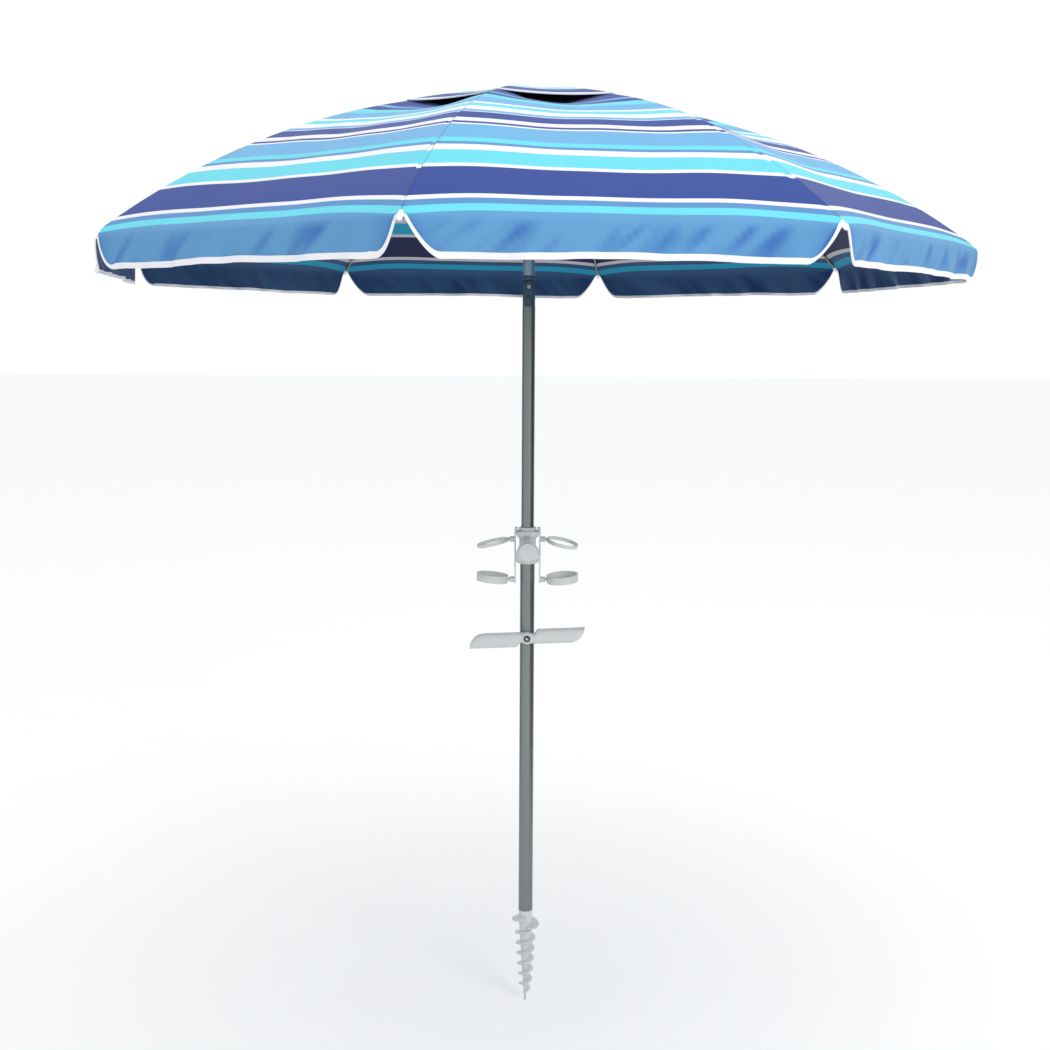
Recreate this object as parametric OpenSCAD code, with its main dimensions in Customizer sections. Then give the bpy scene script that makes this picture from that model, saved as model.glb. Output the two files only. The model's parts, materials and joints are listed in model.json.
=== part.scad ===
// Tilting beach umbrella: striped canopy with a wind vent and valance, a telescoping
// pole with a push-button tilt, a clamp with four cup rings, a turning handle and a
// screw-in sand anchor. Millimetres, +Z up, Z = 0 at the tip of the anchor, front is -Y.

/* [Canopy] */
// Radius of the circle through the eight rib tips
tip_circle_r = 920; // [860:10:960]
// Height of the canopy's rim above the anchor's tip
rim_z = 1696; // [1690:1:1705]
// Height that the cloth's line would reach over the pole, above the rim
dome_rise = 323; // [310:1:330]
// How far the dome bulges above a straight line from crown to tip
dome_bulge = 77; // [70:1:80]
// Turn of the first rib from the front, seen from above
first_rib_turn = -12.24; // [-22:0.01:22]
// Depth of the valance that hangs below the rim
valance_h = 64; // [50:1:80]
// Radius where the wind vent's cap ends, at a rib
vent_cap_r = 292; // [270:1:310]
// Thickness of the cloth as modelled
cloth_t = 1.2; // [1:0.1:2]

/* [Frame] */
// Diameter of a rib
rib_d = 5; // [4:0.1:5.4]
// Diameter of a strut
strut_d = 4.4; // [3.6:0.1:4.6]
// Radius of the crown's pivots from the pole's axis
pivot_r = 26; // [26:1:28]
// Height of the crown's pivots
crown_pivot_z = 2012; // [2008:1:2014]
// Radius at which a strut meets its rib
strut_joint_r = 430; // [400:1:450]

/* [Poles] */
// Diameter of the lower pole
lower_pole_d = 32; // [31.6:0.1:32.4]
// Diameter of the upper, telescoping pole
upper_pole_d = 28; // [27.8:0.1:28.2]
// Diameter of the pole above the tilt joint
top_pole_d = 25.4; // [25:0.1:26]
// Height of the tilt joint's pivot
tilt_z = 1625; // [1620:1:1630]
// Height at which the lower pole starts
pole_foot_z = 221; // [218:1:224]

/* [Clamp] */
// Height of the clamp's top
clamp_top_z = 1104; // [1100:1:1108]
// Height of the clamp knob's centre
knob_z = 1056; // [1052:1:1060]
// Height of the upper cup rings' pegs
upper_peg_z = 1077; // [1075:1:1079]
// Height of the lower cup rings' pegs
lower_peg_z = 987; // [985:1:989]
// Outer diameter of a cup ring
ring_d = 70; // [66:1:72]

/* [Handle] */
// Length of the handle
handle_len = 258; // [240:1:270]
// Height of the handle's screw
handle_z = 859; // [855:1:865]

/* [Sand anchor] */
// Pitch of the screw flight
flight_pitch = 24.8; // [22:0.1:26]
// Outer radius of the flight's wide top turn
wing_r = 31.5; // [28:0.5:36]

/* [Hidden] */
$fn = 64;

// colours
plastic_c = [0.80, 0.82, 0.82];
pole_c = [0.50, 0.52, 0.53];
joint_c = [0.30, 0.36, 0.42];
steel_c = [0.62, 0.64, 0.66];
dark_c = [0.08, 0.08, 0.09];
cloth_c = [0.36, 0.60, 0.84];
white_c = [0.93, 0.94, 0.95];

// the arc that every rib and every gore follows, in the plane of one rib:
// x is the distance from the pole's axis and y is the height
crown_pt = [0, rim_z + dome_rise];
tip_pt = [tip_circle_r, rim_z];
chord = norm(tip_pt - crown_pt);
arc_r = chord * chord / (8 * dome_bulge) + dome_bulge / 2;
chord_dir = (tip_pt - crown_pt) / chord;
arc_c = (crown_pt + tip_pt) / 2
    - [-chord_dir[1], chord_dir[0]] * (arc_r - dome_bulge);
function arc_angle(r, off = 0) = asin((r - arc_c[0]) / (arc_r + off));
function arc_pt(r, off = 0) =
    [r, arc_c[1] + (arc_r + off) * cos(arc_angle(r, off))];

rib_off = -cloth_t / 2 - 1.3 - rib_d / 2;
rib_start_r = 48;
rib_end_r = 913;
rib_blade_t = 2.6;
slot_w = 3.4;
eye_r = 4.2;
wire_r = 0.9;
joint_pin_r = 1.25;
fit = 0.05;

// the four-bar linkage: the strut is as long as the rib's pivot-to-joint distance,
// so its foot stays straight below the crown's pivot while the canopy folds
crown_pivot = [pivot_r, crown_pivot_z];
joint_drop = 8;
strut_joint = arc_pt(strut_joint_r, rib_off - joint_drop);
strut_len = norm(strut_joint - crown_pivot);
strut_angle = atan2(crown_pivot[1] - strut_joint[1], strut_joint[0] - crown_pivot[0]);
runner_z = crown_pivot_z - 2 * strut_len * sin(strut_angle);

lower_r = lower_pole_d / 2;
upper_r = upper_pole_d / 2;
top_r = top_pole_d / 2;
lower_wall_in = upper_r + 0.08;
upper_wall_in = upper_r - 1.5;
top_wall_in = top_r - 1.2;
lower_pole_top = 1092;
upper_pole_foot = 920;
top_pole_foot = tilt_z + 24;
hub_foot = 1998;
hub_top = 2026;
hub_r = 33;
slot_floor_r = 16.8;

// placement of a thing drawn in a rib's plane, x outwards and z up
module at_rib(k) rotate([0, 0, first_rib_turn + 45 * (k - 1) - 90]) children();
// a bar of thickness t between the points a and b of a rib's plane
module plane_bar(a, b, w, t) {
    d = b - a;
    translate([a[0], 0, a[1]]) rotate([0, -atan2(d[1], d[0]), 0])
        translate([0, -t / 2, -w / 2]) cube([norm(d), t, w]);
}
// a disc of thickness t lying in a rib's plane
module plane_disc(p, r, t) translate([p[0], 0, p[1]]) rotate([90, 0, 0])
    cylinder(r = r, h = t, center = true);
// a round rod between the points a and b of a rib's plane
module plane_rod(a, b, r) {
    d = b - a;
    translate([a[0], 0, a[1]]) rotate([0, 90 - atan2(d[1], d[0]), 0])
        cylinder(r = r, h = norm(d));
}
module ring_of(r_out, r_in, h) difference() {
    cylinder(r = r_out, h = h);
    translate([0, 0, -1]) cylinder(r = r_in, h = h + 2);
}

// ---- sand anchor -----------------------------------------------------------
core_r = 15.7;
core_tip_r = 3.4;
core_foot_z = 15;
taper_top_z = 206;
function core_at(z) = z > taper_top_z ? core_r
    : core_tip_r + (core_r - core_tip_r) * (z - core_foot_z) / (taper_top_z - core_foot_z);
plug_r = lower_wall_in - 0.03;
plug_top_z = 285;
pin_r = 2.2;
module sand_anchor() color(plastic_c) difference() {
    rotate_extrude() polygon([
        [0, core_foot_z], [core_tip_r, core_foot_z], [core_r, taper_top_z],
        [core_r, pole_foot_z], [plug_r, pole_foot_z], [plug_r, plug_top_z],
        [plug_r - 3, plug_top_z], [plug_r - 3, 236], [0, 236]]);
    translate([0, 0, core_foot_z - 1]) cylinder(r = pin_r, h = 20);
}
module anchor_tip() color(steel_c) {
    cylinder(r1 = 0.7, r2 = pin_r, h = 4);
    translate([0, 0, 4]) cylinder(r = pin_r, h = core_foot_z + 19 - 4);
}
// one right-handed flight of ribs of radius r(z), thick at the root and thin at the rim
flight_steps = 20;
function flight_r(z) = 14 + 12 * pow((z - 14) / 168, 1.1);
module flight(z0, turns, start, out_r, thick, taper_ends) {
    n = round(turns * flight_steps);
    section = function (i) let (
            a = start + i * 360 / flight_steps,
            z = z0 + flight_pitch * i / flight_steps,
            near = min(i, n - i) / flight_steps,
            full = min(1, 0.25 + taper_ends * near),
            half = thick / 2,
            root = core_at(z + half) + 0.35,
            rim = root + (out_r(z) - root) * full,
            edge = thick / 5,
            ring = [[core_at(z - half) + 0.35, -half], [rim - 1.2, -edge - 0.5],
                [rim, -edge / 2], [rim, edge / 2], [rim - 1.2, edge + 0.5], [root, half]])
        [for (p = ring) [p[0] * cos(a), p[0] * sin(a), z + p[1]]];
    points = [for (i = [0 : n]) each section(i)];
    m = 6;
    sides = [for (i = [0 : n - 1], j = [0 : m - 1])
        each [[i * m + j, (i + 1) * m + j, (i + 1) * m + (j + 1) % m],
            [i * m + j, (i + 1) * m + (j + 1) % m, i * m + (j + 1) % m]]];
    caps = [for (j = [1 : m - 2]) each
        [[0, j, j + 1], [n * m, n * m + j + 1, n * m + j]]];
    polyhedron(points, concat(sides, caps), convexity = 10);
}
module anchor_flight() color(plastic_c) {
    flight(20, 6.4, 234, function (z) flight_r(z), 7, 1.6);
    flight(179.6, 1, 274, function (z) wing_r, 9, 6);
}

// ---- poles -------------------------------------------------------------------
module dimple(z, turn) rotate([0, 0, turn]) translate([0, -lower_r - 1.3, z]) sphere(r = 2.4);
module lower_pole() color(pole_c) difference() {
    translate([0, 0, pole_foot_z]) ring_of(lower_r, lower_wall_in, lower_pole_top - pole_foot_z);
    dimple(256, -48);
    dimple(231, 28);
    translate([0, 0, handle_z]) rotate([90, 0, 0])
        cylinder(r = 3.05, h = 3 * lower_r, center = true);
    translate([0, 0, knob_z]) rotate([90, 0, 0]) cylinder(r = 4.2, h = 2 * lower_r);
}
module upper_pole() color(pole_c) translate([0, 0, upper_pole_foot])
    ring_of(upper_r, upper_wall_in, tilt_z - 42 - upper_pole_foot);
module top_pole() color(pole_c) translate([0, 0, top_pole_foot])
    ring_of(top_r, top_wall_in, hub_top - 12 - top_pole_foot);

// ---- tilt joint ----------------------------------------------------------------
joint_r = 13.6;
joint_foot = tilt_z - 42;
tongue_t = 11.6;
tongue_r = 13;
rivet_r = 3;
rivet_head_r = 3.9;
button_z = tilt_z - 27;
button_w = 15;
button_h = 22;
module button_shape(grow) linear_extrude(height = 30) polygon([
    [0, button_h / 2 + grow], [button_w / 2 + grow, button_h / 5],
    [button_w / 2 + grow, -button_h / 5], [0, -button_h / 2 - grow],
    [-button_w / 2 - grow, -button_h / 5], [-button_w / 2 - grow, button_h / 5]]);
module tilt_lower_housing() color(joint_c) difference() {
    union() {
        intersection() {
            translate([0, 0, joint_foot]) cylinder(r = joint_r, h = 60);
            union() {
                translate([-20, -20, joint_foot]) cube([40, 40, tilt_z - joint_foot]);
                translate([0, 0, tilt_z]) rotate([90, 0, 0])
                    cylinder(r = joint_r, h = 40, center = true);
            }
        }
        translate([0, 0, joint_foot - 36]) cylinder(r = upper_wall_in - 0.03, h = 37);
    }
    translate([-20, -tongue_t / 2 - 0.2, tilt_z - 14.5]) cube([40, tongue_t + 0.4, 40]);
    translate([0, 0, tilt_z]) rotate([90, 0, 0]) cylinder(r = rivet_r, h = 40, center = true);
    for (s = [-1, 1]) translate([0, s * 17.5, tilt_z]) rotate([90, 0, 0])
        cylinder(r = rivet_head_r, h = 10, center = true);
    translate([0, -5, button_z]) rotate([90, 0, 0]) button_shape(0.15);
    translate([0, 0, joint_foot - 40]) cylinder(r = 9, h = 26);
}
module tilt_rivet() color(steel_c) difference() {
    translate([0, 0, tilt_z]) rotate([90, 0, 0]) union() {
        cylinder(r = rivet_r - 0.01, h = 28, center = true);
        for (s = [-1, 1]) translate([0, 0, s * 13.4])
            cylinder(r = rivet_head_r - 0.01, h = 1.8, center = true);
    }
    translate([0, 0, tilt_z]) rotate([90, 0, 0]) cylinder(r = 1.5, h = 40, center = true);
}
module tilt_button() color(joint_c) intersection() {
    translate([0, -9, button_z]) rotate([90, 0, 0]) button_shape(0);
    translate([0, 0, button_z - 20]) cylinder(r = 14.8, h = 40);
}
module tilt_upper_housing() color(joint_c) difference() {
    union() {
        translate([0, 0, tilt_z + 15.2]) cylinder(r = joint_r, h = 24 - 15.2);
        translate([0, 0, tilt_z + 24]) cylinder(r = top_wall_in - 0.03, h = 34);
        translate([-tongue_r + 1, -tongue_t / 2, tilt_z])
            cube([2 * tongue_r - 2, tongue_t, 16]);
        translate([0, 0, tilt_z]) rotate([90, 0, 0])
            cylinder(r = tongue_r, h = tongue_t, center = true);
    }
    translate([0, 0, tilt_z]) rotate([90, 0, 0])
        cylinder(r = rivet_r + fit, h = 40, center = true);
    translate([0, 0, tilt_z + 26]) cylinder(r = 8.5, h = 40);
}

// ---- clamp, knob, cup rings -------------------------------------------------------
dish_r = 25.4;
dish_top_z = clamp_top_z - 9;
cup_foot_z = 1023;
cup_top_z = 1045;
strip_x = 25.6;
strip_t = 3.2;
strip_w = 14;
strip_foot_z = 979;
knuckle_r = 6.2;
knuckle_len = 11;
peg_r = 2;
block_w = 24;
module clamp_body() color(plastic_c) difference() {
    union() {
        rotate_extrude() polygon([
            [lower_r + 0.02, cup_foot_z], [18, cup_foot_z], [dish_r, cup_foot_z + 5],
            [dish_r, cup_top_z], [23.2, cup_top_z], [22.6, cup_foot_z + 7],
            [lower_r + 2.4, cup_foot_z + 6], [lower_r + 2.4, 1084], [22.8, 1090],
            [dish_r, dish_top_z - 3], [dish_r, dish_top_z], [23.4, dish_top_z],
            [lower_r + 2.2, 1091], [lower_r + 2, clamp_top_z - 5],
            [lower_r + 3, clamp_top_z - 3.4], [lower_r + 3, clamp_top_z - 0.6],
            [lower_r + 2.4, clamp_top_z], [upper_r + fit, clamp_top_z],
            [upper_r + fit, lower_pole_top + 0.02], [lower_r + 0.02, lower_pole_top + 0.02]]);
        translate([-block_w / 2, -27, knob_z - 13]) cube([block_w, 27 - lower_r - 0.8, 26]);
    }
    translate([0, 0, knob_z]) rotate([90, 0, 0]) cylinder(r = 4, h = 60);
}
module clamp_screw() color(steel_c) translate([0, 0, knob_z]) rotate([90, 0, 0]) {
    translate([0, 0, lower_wall_in + 0.4]) cylinder(r = 3.95, h = 40 - lower_wall_in - 0.4);
}
knob_lobe_r = 12;
knob_reach = 19;
knob_depth = 27;
knob_turns = [96, 216, 336];
function around(c, r, a) = c + r * [cos(a), sin(a)];
module knob_outline() union() {
    for (a = knob_turns) translate(around([0, 0], knob_reach, a)) circle(r = knob_lobe_r);
    polygon([for (a = knob_turns, s = [-60, 60])
        around(around([0, 0], knob_reach, a), knob_lobe_r - 0.05, a + s)]);
}
module clamp_knob() color(plastic_c) translate([0, 0, knob_z]) rotate([90, 0, 0]) difference() {
    union() {
        translate([0, 0, 28]) cylinder(r = 9, h = 6);
        intersection() {
            translate([0, 0, 33]) linear_extrude(height = knob_depth) knob_outline();
            translate([0, 0, 33]) cylinder(r1 = 35, r2 = 22.5, h = knob_depth);
        }
        translate([0, 0, 32 + knob_depth]) cylinder(r1 = 20, r2 = 17.5, h = 3);
    }
    translate([0, 0, 20]) cylinder(r = 4 + fit, h = 21);
}
module hanger_strip(side) color(plastic_c) {
    union() {
        translate([side > 0 ? strip_x : -strip_x - strip_t, -strip_w / 2, strip_foot_z])
            cube([strip_t, strip_w, clamp_top_z - 3 - strip_foot_z]);
        difference() {
            translate([side * (strip_x - 0.6), 0, clamp_top_z - 4]) rotate([90, 0, 0])
                cylinder(r = 3.9, h = strip_w, center = true);
            translate([side * (strip_x - 1.2), 0, clamp_top_z - 4]) rotate([90, 0, 0])
                cylinder(r = 1.6, h = 2 * strip_w, center = true);
        }
        for (z = [upper_peg_z, lower_peg_z]) difference() {
            translate([side * (strip_x + strip_t - 0.5), 0, z]) rotate([0, side * 90, 0])
                cylinder(r = knuckle_r, h = knuckle_len + 0.5, $fn = 6);
            translate([side * (strip_x + strip_t + 3), 0, z]) rotate([0, side * 90, 0])
                cylinder(r = peg_r + fit, h = knuckle_len + 2);
        }
    }
}
// a ring on a peg along x: the peg runs straight into the knuckle, and the ring is
// tipped about the peg's end by droop and about the peg by roll
module cup_ring(side, z, h, wall, droop, roll, ledge) color(plastic_c) {
    neck_x = strip_x + strip_t + knuckle_len;
    ring_r = ring_d / 2;
    union() {
        translate([side * (neck_x - 7.6), 0, z]) rotate([0, side * 90, 0])
            cylinder(r = peg_r, h = 9.6);
        translate([side * (neck_x + 0.4), 0, z]) rotate([0, side * 90, 0])
            cylinder(r = 3, h = 3.4);
        translate([side * (neck_x + 2), 0, z]) rotate([roll, side * droop, 0])
            translate([side * (ring_r + 1), 0, 0]) {
                difference() {
                    translate([0, 0, -h / 2]) cylinder(r = ring_r, h = h);
                    translate([0, 0, -h]) cylinder(r = ring_r - wall, h = 2 * h);
                }
                if (ledge > 0) translate([0, 0, -h / 2])
                    ring_of(ring_r - wall + 0.3, ring_r - wall - ledge, 2);
                translate([-side * (ring_r - 0.4) - 1.6, -2.6, -2.6]) cube([3.2, 5.2, 5.2]);
            }
    }
}
module cup_ring_upper_left() cup_ring(-1, upper_peg_z, 7.5, 2.8, 13.1, 0, 0);
module cup_ring_upper_right() cup_ring(1, upper_peg_z, 7.5, 2.8, 12.8, 5.4, 0);
module cup_ring_lower_left() cup_ring(-1, lower_peg_z, 16.5, 2.4, -6.1, 0, 7);
module cup_ring_lower_right() cup_ring(1, lower_peg_z, 16.5, 2.4, -4.8, 3, 7);

// ---- handle ---------------------------------------------------------------------
handle_tilt = -2.3;
blade_w = 34;
blade_depth = 11;
blade_front = lower_r + 14;
module blade_outline() translate([0, 3]) union() {
    translate([17, -blade_w / 2]) square([handle_len / 2 - 17 - blade_w, blade_w]);
    intersection() {
        translate([handle_len / 2 - blade_w - 1, blade_w / 2]) circle(r = blade_w);
        translate([handle_len / 2 - blade_w - 1, -blade_w / 2]) square([blade_w, blade_w]);
    }
    polygon([[0, -14], [18, -blade_w / 2], [18, 9], [0, 8]]);
    polygon([[8, 8], [17.5, 8], [24, blade_w / 2], [17.5, blade_w / 2]]);
}
module handle() color(plastic_c) translate([0, 0, handle_z]) rotate([0, handle_tilt, 0])
    rotate([90, 0, 0]) difference() {
        union() {
            for (turn = [0, 180]) rotate([0, 0, turn]) difference() {
                translate([0, 0, blade_front - blade_depth])
                    linear_extrude(height = blade_depth) blade_outline();
                translate([26, -blade_w / 2 + 3 + 2.6, blade_front - blade_depth - 1])
                    cube([handle_len / 2 - 26 - blade_w, blade_w - 5.2, blade_depth - 1.8]);
            }
            translate([0, 0, lower_r + 0.3]) cylinder(r = 13, h = blade_front - lower_r - 0.3);
            translate([0, 0, blade_front - 1]) cylinder(r = 9.4, h = 3);
        }
        translate([0, 0, 10]) cylinder(r = 3 + fit, h = 60);
    }
module handle_washer() color(dark_c) translate([0, 0, handle_z]) rotate([90, 0, 0])
    translate([0, 0, blade_front + 2.02]) ring_of(7.1, 3.02, 1.4);
module handle_screw() color(steel_c) translate([0, 0, handle_z]) rotate([90, 0, 0]) union() {
    translate([0, 0, -lower_r - 3]) cylinder(r = 3, h = blade_front + 3.5 + lower_r + 3);
    translate([0, 0, blade_front + 3.46]) cylinder(r1 = 4.2, r2 = 2.4, h = 2);
    translate([0, 0, -lower_r - 5.6]) cylinder(r = 5, h = 5.2, $fn = 6);
}

// ---- crown, runner, ribs, struts ---------------------------------------------------
module crown_hub() color(plastic_c) difference() {
    union() {
        translate([0, 0, hub_foot]) cylinder(r = hub_r, h = hub_top - hub_foot);
        translate([0, 0, hub_foot - 12]) cylinder(r = top_r + 4, h = 13);
    }
    translate([0, 0, hub_foot - 13]) cylinder(r = top_r + 0.02, h = hub_top - 12 - hub_foot + 13);
    for (k = [1 : 8]) at_rib(k) translate([slot_floor_r, -slot_w / 2, hub_foot - 20])
        cube([30, slot_w, 60]);
    translate([0, 0, crown_pivot_z]) rotate_extrude() translate([pivot_r, 0])
        circle(r = wire_r + 0.02);
}
module crown_wire() color(steel_c) translate([0, 0, crown_pivot_z])
    rotate_extrude() translate([pivot_r, 0]) circle(r = wire_r, $fn = 32);
module finial() color(white_c) union() {
    translate([0, 0, hub_top]) cylinder(r = 5, h = 14);
    translate([0, 0, 2038]) cylinder(r = 17.2, h = 4);
    translate([0, 0, 2042]) rotate_extrude() intersection() {
        scale([1, 0.8]) circle(r = 16.6);
        square([20, 20]);
    }
}
runner_bore_r = 15.7;
runner_r = 20.4;
flange_r = 31;
flange_h = 17;
runner_len = 62;
catch_z = runner_z - 36;
catch_turn = first_rib_turn + 22.5;
module runner() color(plastic_c) difference() {
    union() {
        translate([0, 0, runner_z + flange_h / 2 - runner_len]) cylinder(r = runner_r, h = runner_len);
        translate([0, 0, runner_z - flange_h / 2]) cylinder(r = flange_r, h = flange_h);
        translate([0, 0, runner_z + flange_h / 2 - runner_len]) cylinder(r = runner_r + 3, h = 5);
    }
    translate([0, 0, runner_z - 100]) cylinder(r = runner_bore_r, h = 200);
    for (k = [1 : 8]) at_rib(k) translate([21, -slot_w / 2, runner_z - 60])
        cube([30, slot_w, 80]);
    translate([0, 0, catch_z]) rotate([90, 0, catch_turn]) cylinder(r = 5 + fit, h = 40);
}
module runner_catch() color(joint_c) translate([0, 0, catch_z]) rotate([90, 0, catch_turn])
    union() {
        translate([0, 0, runner_bore_r + 1.6]) cylinder(r = 5, h = 8);
        translate([0, 0, runner_bore_r + 9.6]) cylinder(r1 = 5, r2 = 3.8, h = 1.4);
    }

// one rib: a blade in the crown's slot, a bowed rod, and a clip that carries the strut
module rib(k) color(steel_c) at_rib(k) {
    inner = arc_pt(rib_start_r, rib_off);
    a0 = arc_angle(rib_start_r, rib_off);
    a1 = arc_angle(rib_end_r, rib_off);
    difference() {
        union() {
            plane_bar(crown_pivot, inner + [3, 0], 6, rib_blade_t);
            plane_disc(crown_pivot, eye_r, rib_blade_t);
            translate([arc_c[0], 0, arc_c[1]]) rotate([90, 0, 0]) rotate([0, 0, 90 - a1])
                rotate_extrude(angle = a1 - a0) translate([arc_r + rib_off, 0]) circle(d = rib_d);
            for (s = [-1, 1]) translate([0, s * 2.6, 0])
                plane_bar(strut_joint + [-4, 0], strut_joint + [4, 0], 8, 1.8);
            for (s = [-1, 1]) translate([0, s * 2.6, 0])
                plane_bar(strut_joint, strut_joint + [1.5, joint_drop + 1], 8, 1.8);
            plane_bar(strut_joint + [-1.5, joint_drop + 0.3], strut_joint + [4, joint_drop - 1.2],
                4.4, 7);
            plane_disc(strut_joint, joint_pin_r, 7);
        }
        plane_disc(crown_pivot, wire_r + 0.12, 10);
    }
}
foot_len = 44;
strut_end = [pivot_r, runner_z];
module strut(k) color(steel_c) at_rib(k) {
    d = (strut_end - strut_joint) / strut_len;
    difference() {
        union() {
            plane_disc(strut_joint, eye_r - 0.4, rib_blade_t - 0.4);
            plane_bar(strut_joint, strut_joint + d * 16, 5.4, rib_blade_t - 0.4);
            plane_rod(strut_joint + d * 14, strut_end - d * foot_len, strut_d / 2);
            plane_bar(strut_end - d * (foot_len + 3), strut_end, 6, rib_blade_t);
            plane_disc(strut_end, eye_r, rib_blade_t);
        }
        plane_disc(strut_joint, joint_pin_r + fit, 10);
        plane_disc(strut_end, 1.3, 10);
    }
}
cap_in = rib_end_r - 3;
cap_r = 4.7;
cap_len = 14.4;
cap_bore = (rib_end_r - cap_in) / cos(arc_angle(rib_end_r, rib_off)) + 0.4;
module tip_cap(k) color(white_c) at_rib(k) translate([cap_in, 0, arc_pt(cap_in, rib_off)[1]])
    rotate([0, 90 + arc_angle(rib_end_r, rib_off), 0]) rotate_extrude() difference() {
        union() {
            square([cap_r, cap_len]);
            intersection() {
                translate([0, cap_len]) circle(r = cap_r);
                translate([0, cap_len - 1]) square([cap_r, cap_r + 1]);
            }
        }
        translate([-1, -1]) square([rib_d / 2 + 1.3, cap_bore + 1]);
    }

// ---- cloth: each gore is centred on a rib and reaches halfway to both neighbours ----
gore_end_r = 908;
sag_full = 22;
sag_flat = 3;
sag_reach = 200;
function sag(r) = sag_flat + sag_full * exp(-(r - 262) / sag_reach);
function sag_share(w) = let (u = abs(w)) (u * (2 - u) + u * u * (3 - 2 * u)) / 2;
notch_w = 0.018;
flap_w = 0.05;
flank_w = 0.16;
across = [-1, -0.6, -0.28, -flank_w, -0.1, -flap_w, -notch_w, 0,
    notch_w, flap_w, 0.1, flank_w, 0.28, 0.6, 1];
half_gap = 0.8;
edge_share = (1 - cos(45)) / 2;
half_width = sin(45) / 2;
function on_chord(r, w) = let (u = min(abs(w), 1 - half_gap / (half_width * r)))
    [r * (1 - edge_share * u), sign(w) * half_width * r * u];
function cloth_pt(r, z, w, off, a) = let (c = on_chord(r, w))
    [c[0] + off * sin(a), c[1], z + off * cos(a)];
function ramp(w, w0, w1) = min(1, max(0, (abs(w) - w0) / (w1 - w0)));
function flap(w) = 1 - pow(1 - ramp(w, notch_w, flank_w), 2.2);
// the rim steps back to the rib's end, so that the tip cap stands clear of the cloth
function rim_r(w) = gore_end_r + (tip_circle_r - gore_end_r) * ramp(w, notch_w, flap_w);
// a closed sheet from rows of points above and rows of points below
module sheet(upper, lower) {
    n = len(upper);
    m = len(upper[0]);
    up = [for (row = upper) each row];
    low = [for (row = lower) each row];
    s = n * m;
    faces = [
        for (i = [0 : n - 2], j = [0 : m - 2]) each let (
            a = i * m + j, b = a + 1, c = a + m, d = c + 1)
            [[a, b, d], [a, d, c], [s + a, s + d, s + b], [s + a, s + c, s + d]],
        for (j = [0 : m - 2]) each let (a = j, b = j + 1, c = (n - 1) * m + j, d = c + 1)
            [[a, s + a, s + b], [a, s + b, b], [c, s + d, s + c], [c, d, s + d]],
        for (i = [0 : n - 2]) each let (a = i * m, b = a + m, c = a + m - 1, d = b + m - 1)
            [[a, b, s + b], [a, s + b, s + a], [c, s + d, d], [c, s + c, s + d]]];
    polyhedron(concat(up, low), faces, convexity = 10);
}
main_rows = [262, 300, 345, 400, 470, 560, 660, 760, 850, 908];
module main_gore() {
    h = cloth_t / 2;
    rows = function (off) [
        for (r = main_rows) [for (w = across) let (rr = r == gore_end_r ? rim_r(w) : r)
            cloth_pt(rr, arc_pt(rr)[1] - sag(rr) * sag_share(w), w, off, arc_angle(rr))],
        for (share = [0.5, 1]) [for (w = across) let (rr = rim_r(w))
            cloth_pt(rr, arc_pt(rr)[1] - 5 * ramp(w, notch_w, flap_w)
                - share * (1.2 + flap(w) * valance_h), w, off, 84)]];
    sheet(rows(h), rows(-h));
}
cap_rows = [10, 60, 120, 180, 240, vent_cap_r];
cap_top_z = 2035.8;
cap_edge_z = arc_pt(vent_cap_r)[1] + 5.5;
function cap_z(r) = cap_edge_z + (cap_top_z - cap_edge_z) * (1 - pow(r / vent_cap_r, 1.5));
module cap_gore() {
    h = cloth_t / 2;
    rows = function (off) [for (r = cap_rows) [for (w = [-1, -0.5, 0, 0.5, 1])
        cloth_pt(r, cap_z(r) - 2.5 * abs(w) * r / vent_cap_r, w, off, 8)]];
    sheet(rows(h), rows(-h));
}
module canopy_gore(k) color(cloth_c) at_rib(k) {
    main_gore();
    cap_gore();
}

sand_anchor();
anchor_flight();
anchor_tip();
lower_pole();
handle();
handle_washer();
handle_screw();
clamp_body();
clamp_screw();
clamp_knob();
hanger_strip(-1);  // hanger_strip_left
hanger_strip(1);  // hanger_strip_right
cup_ring_upper_left();
cup_ring_upper_right();
cup_ring_lower_left();
cup_ring_lower_right();
upper_pole();
tilt_lower_housing();
tilt_rivet();
tilt_button();
tilt_upper_housing();
top_pole();
runner();
runner_catch();
crown_hub();
crown_wire();
finial();
rib(1);  // rib_1
rib(2);  // rib_2
rib(3);  // rib_3
rib(4);  // rib_4
rib(5);  // rib_5
rib(6);  // rib_6
rib(7);  // rib_7
rib(8);  // rib_8
strut(1);  // strut_1
strut(2);  // strut_2
strut(3);  // strut_3
strut(4);  // strut_4
strut(5);  // strut_5
strut(6);  // strut_6
strut(7);  // strut_7
strut(8);  // strut_8
canopy_gore(1);  // canopy_gore_1
canopy_gore(2);  // canopy_gore_2
canopy_gore(3);  // canopy_gore_3
canopy_gore(4);  // canopy_gore_4
canopy_gore(5);  // canopy_gore_5
canopy_gore(6);  // canopy_gore_6
canopy_gore(7);  // canopy_gore_7
canopy_gore(8);  // canopy_gore_8
tip_cap(1);  // tip_cap_1
tip_cap(2);  // tip_cap_2
tip_cap(3);  // tip_cap_3
tip_cap(4);  // tip_cap_4
tip_cap(5);  // tip_cap_5
tip_cap(6);  // tip_cap_6
tip_cap(7);  // tip_cap_7
tip_cap(8);  // tip_cap_8
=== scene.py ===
import json
import math

import bpy
from mathutils import Matrix, Vector, noise


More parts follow.
